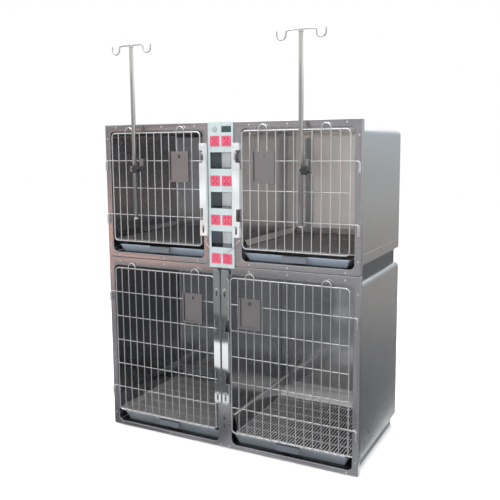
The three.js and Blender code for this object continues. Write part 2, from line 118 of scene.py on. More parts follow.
def remap(nt, fac, a, b, lo=0.3, hi=0.7):
    m = nt.nodes.new("ShaderNodeMapRange")
    m.inputs["From Min"].default_value = lo
    m.inputs["From Max"].default_value = hi
    m.inputs["To Min"].default_value = a
    m.inputs["To Max"].default_value = b
    nt.links.new(fac, m.inputs["Value"])
    return m.outputs["Result"]


def add_bump(nt, bsdf, height, strength, distance=0.0005):
    b = nt.nodes.new("ShaderNodeBump")
    b.inputs["Strength"].default_value = strength
    b.inputs["Distance"].default_value = distance
    nt.links.new(height, b.inputs["Height"])
    nt.links.new(b.outputs["Normal"], bsdf.inputs["Normal"])


def mix_height(nt, a, b, wa=1.0, wb=1.0):
    m1 = nt.nodes.new("ShaderNodeMath")
    m1.operation = "MULTIPLY"
    m1.inputs[1].default_value = wa
    nt.links.new(a, m1.inputs[0])
    m2 = nt.nodes.new("ShaderNodeMath")
    m2.operation = "MULTIPLY_ADD"
    m2.inputs[1].default_value = wb
    nt.links.new(b, m2.inputs[0])
    nt.links.new(m1.outputs[0], m2.inputs[2])
    return m2.outputs[0]


def steel(name, color, rough=0.28, grain=(12, 1500, 1500), grain_bump=0.05, warp=0.05, smudge=0.08, spread=0.06, warp_scale=2.6):
    """Stainless sheet: directional mill grain, faint oil-canning, and wiped smudges in the gloss."""
    m, nt, p = node_tree(name)
    p.inputs["Metallic"].default_value = 1.0
    fine = noise(nt, 1.0, grain, 4.0, 0.6)
    broad = noise(nt, warp_scale, (1, 1, 1), 2.0, 0.5)
    cloud = noise(nt, 9.0, (1, 1, 1.6), 4.0, 0.6)
    c0 = tuple(max(0.0, c * (1 - spread)) for c in color)
    c1 = tuple(min(1.0, c * (1 + spread)) for c in color)
    tint = ramp(nt, cloud, [(0.3, c0), (0.72, c1)])
    nt.links.new(tint, p.inputs["Base Color"])
    mixed = mix_height(nt, fine, cloud, 0.45, 0.55)
    nt.links.new(remap(nt, mixed, max(0.02, rough - smudge * 0.5), rough + smudge), p.inputs["Roughness"])
    b1 = nt.nodes.new("ShaderNodeBump")
    b1.inputs["Strength"].default_value = warp
    b1.inputs["Distance"].default_value = 0.02
    nt.links.new(broad, b1.inputs["Height"])
    b2 = nt.nodes.new("ShaderNodeBump")
    b2.inputs["Strength"].default_value = grain_bump
    b2.inputs["Distance"].default_value = 0.0003
    nt.links.new(fine, b2.inputs["Height"])
    nt.links.new(b1.outputs["Normal"], b2.inputs["Normal"])
    nt.links.new(b2.outputs["Normal"], p.inputs["Normal"])
    return m


def plastic(name, color, rough=0.35, speck=120.0, bump=0.12, spread=0.05, coat=0.0):
    """Moulded plastic: fine texture in the surface and slight colour and gloss variation."""
    m, nt, p = node_tree(name)
    fine = noise(nt, speck * 10, (1, 1, 1), 3.0, 0.6)
    cloud = noise(nt, 14.0, (1, 1, 1), 3.0, 0.55)
    c0 = tuple(c * (1 - spread) for c in color)
    c1 = tuple(min(1.0, c * (1 + spread)) for c in color)
    nt.links.new(ramp(nt, cloud, [(0.3, c0), (0.7, c1)]), p.inputs["Base Color"])
    nt.links.new(remap(nt, cloud, rough - 0.05, rough + 0.07), p.inputs["Roughness"])
    add_bump(nt, p, fine, bump, 0.0002)
    if coat:
        p.inputs["Coat Weight"].default_value = coat
        p.inputs["Coat Roughness"].default_value = 0.08
    return m


M = {
    "frame": steel("frame_sheet", (0.56, 0.55, 0.56), 0.24, (12, 1500, 1500), 0.012, 0.035, 0.05, 0.025),
    "body": steel("body_sheet", (0.57, 0.575, 0.58), 0.28, (1500, 12, 1500), 0.02, 0.03, 0.05, 0.02),
    "inner": steel("inner_sheet", (0.53, 0.53, 0.54), 0.13, (1500, 12, 1500), 0.012, 0.04, 0.05, 0.03),
    # darker, lighter and warmer copies of the lining steel for single compartments: painted shade and painted light
    "inner_painted_shade": steel("inner_sheet_painted_shade", (0.45, 0.455, 0.465), 0.14, (1500, 12, 1500), 0.012, 0.04, 0.05, 0.03),
    "inner_painted_light": steel("inner_sheet_painted_light", (0.68, 0.68, 0.685), 0.12, (1500, 12, 1500), 0.012, 0.04, 0.04, 0.03),
    # darker copy of the lining steel for the lower divider: painted shade
    "divider": steel("divider_sheet_painted_shade", (0.46, 0.465, 0.475), 0.15, (1500, 12, 1500), 0.012, 0.04, 0.05, 0.03),
    "inner_painted_warm_light": steel("inner_sheet_painted_warm_light", (0.86, 0.81, 0.775), 0.14, (1500, 12, 1500), 0.012, 0.03, 0.04, 0.03),
    "wire": steel("door_wire", (0.93, 0.93, 0.94), 0.18, (60, 60, 60), 0.03, 0.0, 0.06, 0.03),
    "weld": steel("weld_bead", (0.62, 0.61, 0.60), 0.30, (400, 400, 400), 0.3, 0.0, 0.1, 0.10),
    "latch": steel("latch_mirror", (0.77, 0.80, 0.81), 0.08, (1500, 1500, 15), 0.003, 0.10, 0.03, 0.01, 4.0),
    # brighter, glossier copy of the latch steel for the lower bars: painted light
    "latch_painted_light": steel("latch_mirror_painted_light", (0.85, 0.87, 0.88), 0.05, (1500, 1500, 15), 0.003, 0.05, 0.03, 0.01, 5.0),
    # tray film, with a darker copy for the lower units: painted shade
    "tray": steel("tray_film", (0.40, 0.47, 0.555), 0.38, (12, 600, 600), 0.02, 0.06, 0.08, 0.06),
    "tray_painted_shade": steel("tray_film_painted_shade", (0.32, 0.355, 0.395), 0.38, (12, 600, 600), 0.02, 0.06, 0.08, 0.06),
    "tray_tab": steel("tray_tab", (0.145, 0.16, 0.185), 0.40, (12, 600, 600), 0.02, 0.04, 0.08, 0.06),
    # near-black for the tray's inner faces under the rack: painted shade
    "tray_inside_painted_shade": steel("tray_inside_painted_shade", (0.085, 0.09, 0.098), 0.42, (12, 600, 600), 0.02, 0.04, 0.08, 0.06),
    "card": steel("card_sheet", (0.44, 0.42, 0.425), 0.34, (1500, 1500, 15), 0.02, 0.02, 0.06, 0.04),
    # floor racks: a dark copy for the upper units (painted shade) and a near-white copy for the lower units (painted
    # highlight)
    "grid": steel("grid_bar", (0.26, 0.26, 0.265), 0.22, (60, 60, 60), 0.03, 0.0, 0.06, 0.04),
    "grid_painted_highlight": steel("grid_bar_painted_highlight", (0.80, 0.79, 0.785), 0.22, (60, 60, 60), 0.03, 0.0, 0.06, 0.04),
    "hook": steel("hook_rod", (0.68, 0.675, 0.66), 0.18, (60, 60, 60), 0.02, 0.0, 0.05, 0.02),
    # near-white copy of the steel for the lower right's pan strip: painted highlight band
    "pan": steel("pan_flange_painted_highlight", (0.96, 0.945, 0.93), 0.34, (60, 60, 200), 0.01, 0.01, 0.08, 0.04),
    # dark steel for the plinth boxes in the gap under each body: painted shade; also used for the keyholes and latch
    # rivets
    "base": steel("base_sheet_painted_shade", (0.165, 0.185, 0.20), 0.36, (12, 1500, 1500), 0.03, 0.03, 0.08),
    # near-black bay liner stands for walls in shade, white back plate for a bright reflection: painted shade and
    # painted reflection
    "bay": steel("bay_sheet_painted_shade", (0.125, 0.145, 0.165), 0.22, (200, 3, 200), 0.01, 0.02, 0.04, 0.02),
    "bay_back_painted_reflection": plastic("bay_back_sheet", (0.93, 0.95, 0.96), 0.22, spread=0.02, bump=0.03, coat=0.3),
    "pole": steel("pole_tube", (0.52, 0.51, 0.49), 0.14, (300, 300, 3), 0.02, 0.0, 0.05, 0.02),
    "clamp": steel("clamp_cast", (0.50, 0.50, 0.51), 0.28, (300, 300, 300), 0.10, 0.0, 0.08),
    "rivet": steel("rivet_head", (0.80, 0.79, 0.79), 0.18, (400, 400, 400), 0.05, 0.0, 0.08),
    "panel": plastic("column_panel", (0.335, 0.39, 0.405), 0.30, coat=0.15, spread=0.03, bump=0.06),
    "socket": plastic("socket_red", (0.47, 0.062, 0.112), 0.34, spread=0.06, bump=0.08),
    # near-black for the walls of the contact slots: painted shade down the holes
    "socket_dark": plastic("socket_slot_painted_shade", (0.10, 0.012, 0.02), 0.5),
    "button": plastic("button_grey", (0.26, 0.29, 0.31), 0.36),
    "bezel": plastic("display_bezel", (0.055, 0.075, 0.07), 0.35),
    "knob": plastic("knob_black", (0.018, 0.018, 0.02), 0.42, bump=0.25),
    "cap": plastic("tube_cap", (0.34, 0.345, 0.34), 0.40),
    "inlet": plastic("inlet_black", (0.02, 0.02, 0.022), 0.45, bump=0.2),
    # near-black for recesses: painted shade; no mesh uses it
    "dark": plastic("painted_recess_shade", (0.012, 0.012, 0.013), 0.6),
}


def glass_display():
    m, nt, p = node_tree("display_glass")
    n = noise(nt, 60.0, (1, 1, 4), 2.0, 0.5)
    nt.links.new(ramp(nt, n, [(0.3, (0.020, 0.038, 0.034)), (0.7, (0.030, 0.055, 0.048))]), p.inputs["Base Color"])
    nt.links.new(remap(nt, n, 0.05, 0.10), p.inputs["Roughness"])
    p.inputs["Coat Weight"].default_value = 0.6
    p.inputs["Coat Roughness"].default_value = 0.04
    return m


M["display"] = glass_display()
for k in ("tray", "tray_painted_shade", "tray_tab"):
    M[k].node_tree.nodes["Principled BSDF"].inputs["Metallic"].default_value = 0.5
M["latch"].node_tree.nodes["Principled BSDF"].inputs["Metallic"].default_value = 0.62
M["inner_painted_warm_light"].node_tree.nodes["Principled BSDF"].inputs["Metallic"].default_value = 0.35
M["bay_back_painted_reflection"].node_tree.nodes["Principled BSDF"].inputs["Emission Color"].default_value = (1, 1, 1, 1)
M["bay_back_painted_reflection"].node_tree.nodes["Principled BSDF"].inputs["Emission Strength"].default_value = 0.0
M["inner"].node_tree.nodes["Principled BSDF"].inputs["Metallic"].default_value = 0.9
M["pan"].node_tree.nodes["Principled BSDF"].inputs["Metallic"].default_value = 0.5
M["grid"].node_tree.nodes["Principled BSDF"].inputs["Metallic"].default_value = 0.5
M["grid_painted_highlight"].node_tree.nodes["Principled BSDF"].inputs["Metallic"].default_value = 0.5
M["latch_painted_light"].node_tree.nodes["Principled BSDF"].inputs["Metallic"].default_value = 0.97


# ------------------------------------------------------------------ mesh tools
class Build:
    """Gathers vertices and faces in millimetres, with a material index per face."""

    def __init__(self):
        self.v, self.f, self.m = [], [], []

    def add(self, verts, faces, mat=0):
        n = len(self.v)
        self.v += [tuple(p) for p in verts]
        self.f += [tuple(i + n for i in q) for q in faces]
        self.m += [mat] * len(faces)

    def loft(self, rings, closed=True, around=False, cap0=False, cap1=False, mat=0, flip=False):
        n = len(rings[0])
        verts = [p for r in rings for p in r]
        faces = []
        for i in range(len(rings) if around else len(rings) - 1):
            a, b = i * n, ((i + 1) % len(rings)) * n
            for j in range(n if closed else n - 1):
                k = (j + 1) % n
                faces.append((a + j, a + k, b + k, b + j))
        if cap0:
            faces.append(tuple(reversed(range(n))))
        if cap1:
            faces.append(tuple((len(rings) - 1) * n + i for i in range(n)))
        if flip:
            faces = [tuple(reversed(q)) for q in faces]
        self.add(verts, faces, mat)

    def tube(self, path, r, sides=12, caps=True, mat=0):
        """A round tube along a list of points. r may be one number or one for each point."""
        pts = [Vector(p) for p in path]
        n = len(pts)
        radii = [r] * n if isinstance(r, (int, float)) else list(r)
        tan = [(pts[min(i + 1, n - 1)] - pts[max(i - 1, 0)]).normalized() for i in range(n)]
        ref = Vector((0, 0, 1)) if abs(tan[0].z) < 0.9 else Vector((0, 1, 0))
        u = tan[0].cross(ref).normalized()
        rings = []
        for i in range(n):
            if i:
                q = tan[i - 1].rotation_difference(tan[i])
                u = (q @ u).normalized()
            w = tan[i].cross(u).normalized()
            rings.append([pts[i] + (u * math.cos(a) + w * math.sin(a)) * radii[i] for a in (2 * PI * k / sides for k in range(sides))])
        self.loft(rings, True, False, caps, caps, mat)

    def lathe(self, profile, axis, at, sides=32, mat=0):
        """Turns (radius, position) pairs about an axis; at is the axis's place in the other two directions."""
        rings = []
        for r, t in profile:
            ring = []
            for k in range(sides):
                a = 2 * PI * k / sides
                c, s = max(r, 0.01) * math.cos(a), max(r, 0.01) * math.sin(a)
                ring.append({"y": (at[0] + c, t, at[1] + s), "z": (at[0] + c, at[1] + s, t), "x": (t, at[0] + c, at[1] + s)}[axis])
            rings.append(ring)
        self.loft(rings, True, False, True, True, mat)

    def plate(self, outline, holes, place, mat=0, flip=False):
        """A flat face with holes. place turns a 2D point into a 3D one."""
        loops = [outline] + list(holes)
        flat = [p for lp in loops for p in lp]
        tris = tessellate_polygon([[Vector((p[0], p[1], 0)) for p in lp] for lp in loops])
        faces = []
        for t in tris:
            a, b, c = (Vector((*flat[i], 0)) for i in t)
            cr = (b - a).cross(c - a).z
            if abs(cr) < 1e-9:
                continue
            faces.append(tuple(t) if (cr > 0) != flip else tuple(reversed(t)))
        self.add([place(p) for p in flat], faces, mat)

    def box(self, x0, x1, y0, y1, z0, z1, bevel=0.6, mat=0):
        """A box with rounded edges, built as one lofted shell."""
        b = min(bevel, (x1 - x0) / 2.1, (y1 - y0) / 2.1, (z1 - z0) / 2.1)
        rings = []
        steps = [(b, 0.0), (b * 0.3, b * 0.3), (0.0, b)]
        prof = steps + [(d, (y1 - y0) - t) for d, t in reversed(steps)]
        for d, t in prof:
            rings.append([(x, y0 + t, z) for x, z in rrect(x0, x1, z0, z1, b, d, 2)])
        self.loft(rings, True, False, True, True, mat)

    def make(self, name, mats, body, replaces=(), angle=32, slot=None, recalc=True):
        me = bpy.data.meshes.new(name)
        me.from_pydata([(x * MM, y * MM, z * MM) for x, y, z in self.v], [], self.f)
        for i, p in enumerate(me.polygons):
            p.material_index = self.m[i]
        return finish_mesh(me, name, mats, body, replaces, angle, recalc)


def finish_mesh(me, name, mats, body, replaces=(), angle=32, recalc=True):
    bm = bmesh.new()
    bm.from_mesh(me)
    bmesh.ops.remove_doubles(bm, verts=bm.verts, dist=2e-6)
    bmesh.ops.dissolve_degenerate(bm, dist=1e-6, edges=bm.edges)
    if recalc:
        bmesh.ops.recalc_face_normals(bm, faces=bm.faces)
    bm.to_mesh(me)
    bm.free()
    me.validate()
    for p in me.polygons:
        p.use_smooth = True
    me.set_sharp_from_angle(angle=math.radians(angle))
    while me.materials:
        me.materials.pop()
    for mt in mats if isinstance(mats, (list, tuple)) else [mats]:
        me.materials.append(mt)
    ob = bpy.data.objects.new(name, me)
    bpy.context.scene.collection.objects.link(ob)
    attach(ob, body)
    if replaces:
        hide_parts(*replaces)
    return ob


def refine(node, name, mat, body, width=0.6, seg=2):
    """A copy of a CAD node's shape with its flats merged and its edges rounded over."""
    me = NODES[node].data.copy()
    me.name = name
    for p in me.polygons:
        p.material_index = 0
    bm = bmesh.new()
    bm.from_mesh(me)
    bmesh.ops.remove_doubles(bm, verts=bm.verts, dist=2e-6)
    bmesh.ops.dissolve_limit(bm, angle_limit=math.radians(0.6), verts=bm.verts, edges=bm.edges)
    bm.normal_update()
    edges = [e for e in bm.edges if len(e.link_faces) == 2 and e.calc_face_angle(0) > math.radians(28)]
    bmesh.ops.bevel(bm, geom=edges, offset=width * MM, offset_type="OFFSET", segments=seg, profile=0.5, affect="EDGES", clamp_overlap=True)
    bm.to_mesh(me)
    bm.free()
    ob = finish_mesh(me, name, mat, body, (node,), 34)
    flat = ob.modifiers.new("flat_faces", "WEIGHTED_NORMAL")  # large flats keep a flat reflection
    flat.mode = "FACE_AREA"
    flat.weight = 50
    flat.keep_sharp = True
    return ob


def rrect(x0, x1, z0, z1, r, inset=0.0, steps=6):
    """Points of a rounded rectangle, anticlockwise seen from the front, moved inwards by inset."""
    x0, x1, z0, z1 = x0 + inset, x1 - inset, z0 + inset, z1 - inset
    r = max(r - inset, 0.04)
    pts = []
    for cx, cz, a0 in ((x1 - r, z0 + r, -PI / 2), (x1 - r, z1 - r, 0), (x0 + r, z1 - r, PI / 2), (x0 + r, z0 + r, PI)):
        for k in range(steps + 1):
            a = a0 + (PI / 2) * k / steps
            pts.append((cx + r * math.cos(a), cz + r * math.sin(a)))
    return pts


def arc(cx, cz, r, a0, a1, n):
    return [(cx + r * math.cos(a0 + (a1 - a0) * k / n), cz + r * math.sin(a0 + (a1 - a0) * k / n)) for k in range(n + 1)]


def span(s, a, b):
    return (min(s * a, s * b), max(s * a, s * b))


def bend(d0, y0, d1, y1, n=5):
    """Quarter turn in a sheet's section from (d0, y0) to (d1, y1), leaving along the first axis."""
    return [(d0 + (d1 - d0) * math.sin(t), y0 + (y1 - y0) * (1 - math.cos(t))) for t in (PI / 2 * k / n for k in range(n + 1))]


# ------------------------------------------------------------------ face frames
def face_frame(name, node, z0, z1, openings, doors):
    b = Build()
    t = SHEET
    R = 3.0
    outer = [(R, F), *bend(R, F, 0, F + R)[1:], (0, F + FLANGE - 0.4), (0.4, F + FLANGE), (t - 0.2, F + FLANGE), (t, F + FLANGE - 0.3), (t, F + R), (t + 0.5, F + t + 0.5), (R, F + t)]
    rings = [[(x, y, z) for x, z in rrect(-HALF_W, HALF_W, z0, z1, 4.0, d, 4)] for d, y in outer]
    b.loft(rings)
    lips = []
    for x0, x1, a, c, r, depth in openings:
        q = 2.6
        prof = [(-q, F), *bend(-q, F, 0, F + q)[1:], (0, F + depth - 0.4), (-0.4, F + depth), (-t + 0.2, F + depth), (-t, F + depth - 0.4), (-t, F + q), (-q, F + t)]
        b.loft([[(x, y, z) for x, z in rrect(x0, x1, a, c, r, d, 8)] for d, y in prof])
        lips.append(rrect(x0, x1, a, c, r, -q, 8))
    for y in (F, F + t):
        b.plate(rrect(-HALF_W, HALF_W, z0, z1, 4.0, R, 4), lips, lambda p, y=y: (p[0], y, p[1]))
    ob = b.make(name, M["frame"], "cabinet", (node,), 30, "frame_steel")
    # hinge sleeves on welded lugs
    h = Build()
    for d in doors:
        for i in d["hinges"]:
            z = row(d, i)
            x = d["s"] * HINGE_X
            h.lathe([(3.3, z - 43), (5.6, z - 43), (6.0, z - 42.4), (6.0, z - 4.6), (5.6, z - 4.0), (3.3, z - 4.0)], "z", (x, HINGE_Y), 28)
            h.box(x - 4.6, x + 4.6, HINGE_Y + 2.5, F + 0.4, z - 39, z - 8, 0.8)
    h.make(name + "_hinge_sleeves", M["rivet"], "cabinet", (), 30, "frame_steel")
    return ob


def upper_unit(key):
    return key.startswith("upper")


def row(d, i):
    return d["z1"] - (d["z1"] - d["z0"]) / d["rows"] * i


face_frame(
    "upper_front_sheet",
    "upper_face_frame",
    UF0[2],
    UF1[2],
    [(-OPEN_X, -POST_U, *OPEN_UZ, 22, 9), (POST_U, OPEN_X, *OPEN_UZ, 22, 9), (-54, 54, 822, 1404, 3, 4)],
    [DOORS["upper_left"], DOORS["upper_right"]],
)
face_frame(
    "lower_front_sheet",
    "lower_face_frame",
    LF0[2],
    LF1[2],
    [(-OPEN_X, -POST_L, *OPEN_LZ, 22, 9), (POST_L, OPEN_X, *OPEN_LZ, 22, 9)],
    [DOORS["lower_left"], DOORS["lower_right"]],
)

# Blind rivets along the frames, and the pairs of keyholes in the lower post.
rv = Build()
for x, z in (
    [(s * 548, 1405) for s in (-1, 1)]
    + [(s * 130, 1404) for s in (-1, 1)]
    + [(s * x, z) for s in (-1, 1) for x, z in ((597, 1355), (597, 872), (547, 826), (547, 797), (600, 744), (126, 827), (300, 827), (597, 60), (126, 797), (300, 797), (300, 1405))]
    + [(s * 22, 12) for s in (-1, 1)]
    + [(s * 560, 12.5) for s in (-1, 1)]
):
    rv.lathe([(4.2, F + 0.1), (4.2, F - 0.5), (3.7, F - 1.2), (2.4, F - 1.75), (0.9, F - 1.95), (0.8, F - 1.5), (0.05, F - 1.4)], "y", (x, z), 20)
rv.make("frame_rivets", M["rivet"], "cabinet", (), 40, "frame_steel")
kh = Build()
for z in (138, 102):
    for dz, r in ((0, 4.2), (-7, 2.4)):
        kh.lathe([(r + 1.3, F + 0.1), (r + 1.3, F - 0.5), (r + 0.7, F - 0.9), (r, F - 0.6), (r - 0.3, F - 0.1), (0.05, F - 0.08)], "y", (-2, z + dz), 20)
kh.make("post_keyholes", M["base"], "cabinet", (), 40, "frame_steel")

# ------------------------------------------------------------------ body shells
def shell_ring(z0, z1, d, y, foot=PLINTH_X, rb=3.0, rt=14.0, steps=8):
    """One ring of the body: up one side, over the top and down the other, with a ledge at each foot."""
    pts = [(-foot, z0 + d)]

    def corner(vx, vz, sx, sz, r, a0, a1):
        vx, vz, r = vx + sx * d, vz + sz * d, max(r - d, 0.04)
        return arc(vx + sx * r, vz + sz * r, r, a0, a1, steps)

    pts += corner(-SIDE_X, z0, 1, 1, rb, 1.5 * PI, PI)
    pts += corner(-SIDE_X, z1, 1, -1, rt, PI, PI / 2)
    pts += corner(SIDE_X, z1, -1, -1, rt, PI / 2, 0)
    pts += corner(SIDE_X, z0, -1, 1, rb, 0, -PI / 2)
    pts.append((foot, z0 + d))
    return [(x, y, z) for x, z in pts]


def body_shell(name, nodes, z0, z1, plinth_top, seam_z, rt):
    b = Build()
    t, R = SHEET, 12.0
    outer = [(0, F + 2), (0, B - R)] + [(R - R * math.cos(a), B - R + R * math.sin(a)) for a in (PI / 2 * k / 8 for k in range(1, 9))]
    inner = [(t, F + 2), (t, B - R)] + [(R - (R - t) * math.cos(a), B - R + (R - t) * math.sin(a)) for a in (PI / 2 * k / 8 for k in range(1, 9))]
    ro = [shell_ring(z0, z1, d, y, rt=rt) for d, y in outer]
    ri = [shell_ring(z0, z1, d, y, rt=rt) for d, y in inner]
    b.loft(ro, closed=False)
    b.loft(ri, closed=False, flip=True)
    b.loft([ro[0], ri[0]], closed=False, flip=True)
    for ring, flip in ((ro[-1], False), (ri[-1], True)):
        f = tuple(range(len(ring)))
        b.add(ring, [tuple(reversed(f)) if flip else f])
    for s in (-1, 1):  # joggle down to the base
        x0, x1 = span(s, PLINTH_X - t, PLINTH_X)
        b.box(x0, x1, F + 2.2, B - t - 0.3, plinth_top + 0.4, z0 + 1.2, 0.4)
    b.box(-PLINTH_X, PLINTH_X, B - t, B, plinth_top + 0.4, z0 + R + 1, 0.4)
    b.make(name, M["body"], "cabinet", nodes, 30, "body_steel", recalc=False)
    # weld line of the floor pan's upturned edge, along both sides and the back
    w = Build()
    for s in (-1, 1):
        path = [(s * (SIDE_X - 0.1), y, seam_z) for y in (F + 24, F + 150, F + 290, F + 430, B - 16)]
        w.tube(path, 0.75, 8)
    w.tube([(x, B - 0.1 - 0.55, seam_z) for x in (-590, -300, 0, 300, 590)], 0.6, 8)
    w.make(name + "_weld_line", M["weld"], "cabinet", (), 60, "body_steel")


ROLL = {"upper": 24.0, "lower": 19.0}  # rolled top edges of the two bodies
body_shell("upper_shell", ("upper_side_left", "upper_side_right", "upper_top", "upper_back"), *U_BODY, mm_box("upper_base")[1][2], 895.0, ROLL["upper"])
body_shell("lower_shell", ("lower_side_left", "lower_side_right", "lower_top", "lower_back"), *L_BODY, mm_box("lower_base")[1][2], 120.0, ROLL["lower"])
# plinth boxes in the dark painted-shade steel
refine("upper_base", "upper_plinth_box", M["base"], "cabinet", 1.2, 3)
refine("lower_base", "lower_plinth_box", M["base"], "cabinet", 1.2, 3)
for node in ("column_wall_left", "column_wall_right", "lower_divider", "top_closure_strip"):
    # the lower divider takes the darker copy of the lining steel: painted shade
    refine(node, node + "_sheet", M["divider" if node == "lower_divider" else "inner"], "cabinet", 0.4, 2)

# The shells' inner faces as their own polished lining, one for each compartment, three of them in darker, lighter or
# warmer copies of the steel that paint shade and light.
for key, d in DOORS.items():
    s = d["s"]
    upper = key.startswith("upper")
    post = POST_U if upper else POST_L
    z_lo, z_hi = (U_BODY if upper else L_BODY)
    floor = mm_box("floor_grid_" + key)[1][2]
    x_in, x_out = s * (post + 0.4), s * (SIDE_X - SHEET - 0.4)
    y1 = B - SHEET - 0.4
    b = Build()
    R = 12.0
    # plan of side wall, rounded corner and back wall, rolled inwards to the ceiling
    roll = ROLL["upper" if upper else "lower"]
    zt, rr = z_hi - SHEET - 0.4, roll - SHEET - 0.4
    zw = zt - rr

    def plan(o):
        xo, yo, rc = x_out - s * o, y1 - o, max(R - o, 0.6)
        return [(xo, F + 24)] + [(xo - s * (rc - rc * math.cos(a)), yo - rc + rc * math.sin(a)) for a in (PI / 2 * k / 6 for k in range(7))] + [(x_in, yo)]

    levels = [(floor - 6, 0.0), (zw - 2, 0.0), (zw, 0.0)] + [(zw + rr * math.sin(a), rr - rr * math.cos(a)) for a in (PI / 2 * k / 6 for k in range(1, 7))] + [(zt, rr + 2.0)]
    rings = [[(x, y, z) for x, y in plan(o)] for z, o in levels]
    b.loft(rings, closed=False)
    top = rings[-1] + [(x_in, F + 24, zt)]
    b.add(top, [tuple(range(len(top)))])
    # lower left in the darker copy (painted shade), lower right in the lighter copy (painted light), upper right in
    # the warm copy (painted warm light)
    b.make("lining_" + key, M[{"upper_right": "inner_painted_warm_light", "lower_left": "inner_painted_shade", "lower_right": "inner_painted_light"}.get(key, "inner")], "cabinet", (), 30, "inner_steel")
    c0, c1 = span(s, 141, 183) if upper else span(s, 52, 76)
    r = Build()
    r.loft([[(x, y, z) for x, z in rrect(c0, c1, floor + 26, zw - 6, 3, d, 3)] for d, y in ((0, y1 - 0.1), (0.6, y1 - 2.0), (2.2, y1 - 3.2))], True, False, False, True)
    for k in range(1, 8):
        r.lathe([(2.6, y1 - 3.1), (2.6, y1 - 3.9), (1.6, y1 - 4.5), (0.05, y1 - 4.6)], "y", ((c0 + c1) / 2, floor + 26 + (zw - floor - 32) * k / 8), 12)
    r.make("back_channel_" + key, M["body"], "cabinet", (), 30, "inner_steel")
    # sloped upstand of the floor pan: catches the light along the walls. Its post and side strips take the
    # painted-shade steel; the lower right's back strip and rolled rods take a near-white copy that paints a highlight
    # band.
    p = Build()
    w, t = 15.0, 1.2
    for wall in ("post", "back", "side"):
        h = 24.0 if upper or wall == "back" else 68.0
        if wall == "back":
            sec = [(y1 - 0.3, floor + h), (y1 - 1.6, floor + h + 0.6), (y1 - w, floor + 2.5), (y1 - w, floor - 1), (y1 - w + t, floor - 1), (y1 - 0.3, floor + h - t)]
            if not upper:
                sec = [(y1 - 0.3, floor + 27), (y1 - 1.6, floor + 27.4), (y1 - 66, floor + 22.6), (y1 - 69, floor + 21), (y1 - 86, floor + 2.0), (y1 - 86, floor - 0.2), (y1 - 84.6, floor - 0.2), (y1 - 68, floor + 19.6), (y1 - 65, floor + 21.2), (y1 - 0.3, floor + 25.6)]
            xs = (min(x_in, x_out) + 1.5, max(x_in, x_out) - 1.5)
            p.loft([[(x, y, z) for y, z in sec] for x in xs], True, False, True, True, mat=1)
        else:
            w = 15.0
            x, k = (x_in, s) if wall == "post" else (x_out, -s)
            sec = [(x + k * 0.3, floor + h), (x + k * 1.6, floor + h + 0.6), (x + k * w, floor + 2.5), (x + k * w, floor - 1), (x + k * (w - t), floor - 1), (x + k * 0.3, floor + h - t)]
            p.loft([[(xx, y, z) for xx, z in sec] for y in (F + 26, y1 - 1)], True, False, True, True)
            if h > 30:
                p.tube([(x + k * 3.4, y, floor + h + 1.5) for y in (F + 26, F + 290, y1 - 1)], 3.2, 12, mat=1)
    p.make("pan_upstand_" + key, [M["inner_painted_shade"], M["pan" if key == "lower_right" else "body" if key == "lower_left" else "inner"]], "cabinet", (), 30, "inner_steel")

# ------------------------------------------------------------------ floor grids
for key, d in DOORS.items():
    lo, hi = mm_box("floor_grid_" + key)
    g = Build()
    zt = hi[2] - 2.5
    path = [(x, y, zt - 2.0) for x, y in rrect(lo[0] + 17, hi[0] - 17, lo[1] + 5, hi[1] - 18, 10, 0, 6)]
    g.tube(path + path[:1], 3.0, 10, caps=False)
    x0, x1 = lo[0] + 20, hi[0] - 20
    n = int((x1 - x0) / 13.2)
    for k in range(n + 1):
        x = x0 + (x1 - x0) * k / n
        g.tube([(x, lo[1] + 5, zt), (x, (lo[1] + hi[1]) / 2, zt), (x, hi[1] - 18, zt)], 2.4, 8)
    for k in range(1, 7):
        y = lo[1] + 5 + (hi[1] - 23 - lo[1]) * k / 7
        g.tube([(x0 - 3, y, zt - 3.3), (x1 + 3, y, zt - 3.3)], 2.1, 7)
    # upper racks in the dark copy (painted shade), lower racks in the near-white copy (painted highlight)
    g.make("floor_rack_" + key, M["grid" if upper_unit(key) else "grid_painted_highlight"], "cabinet", ("floor_grid_" + key,), 50, "grid_steel")

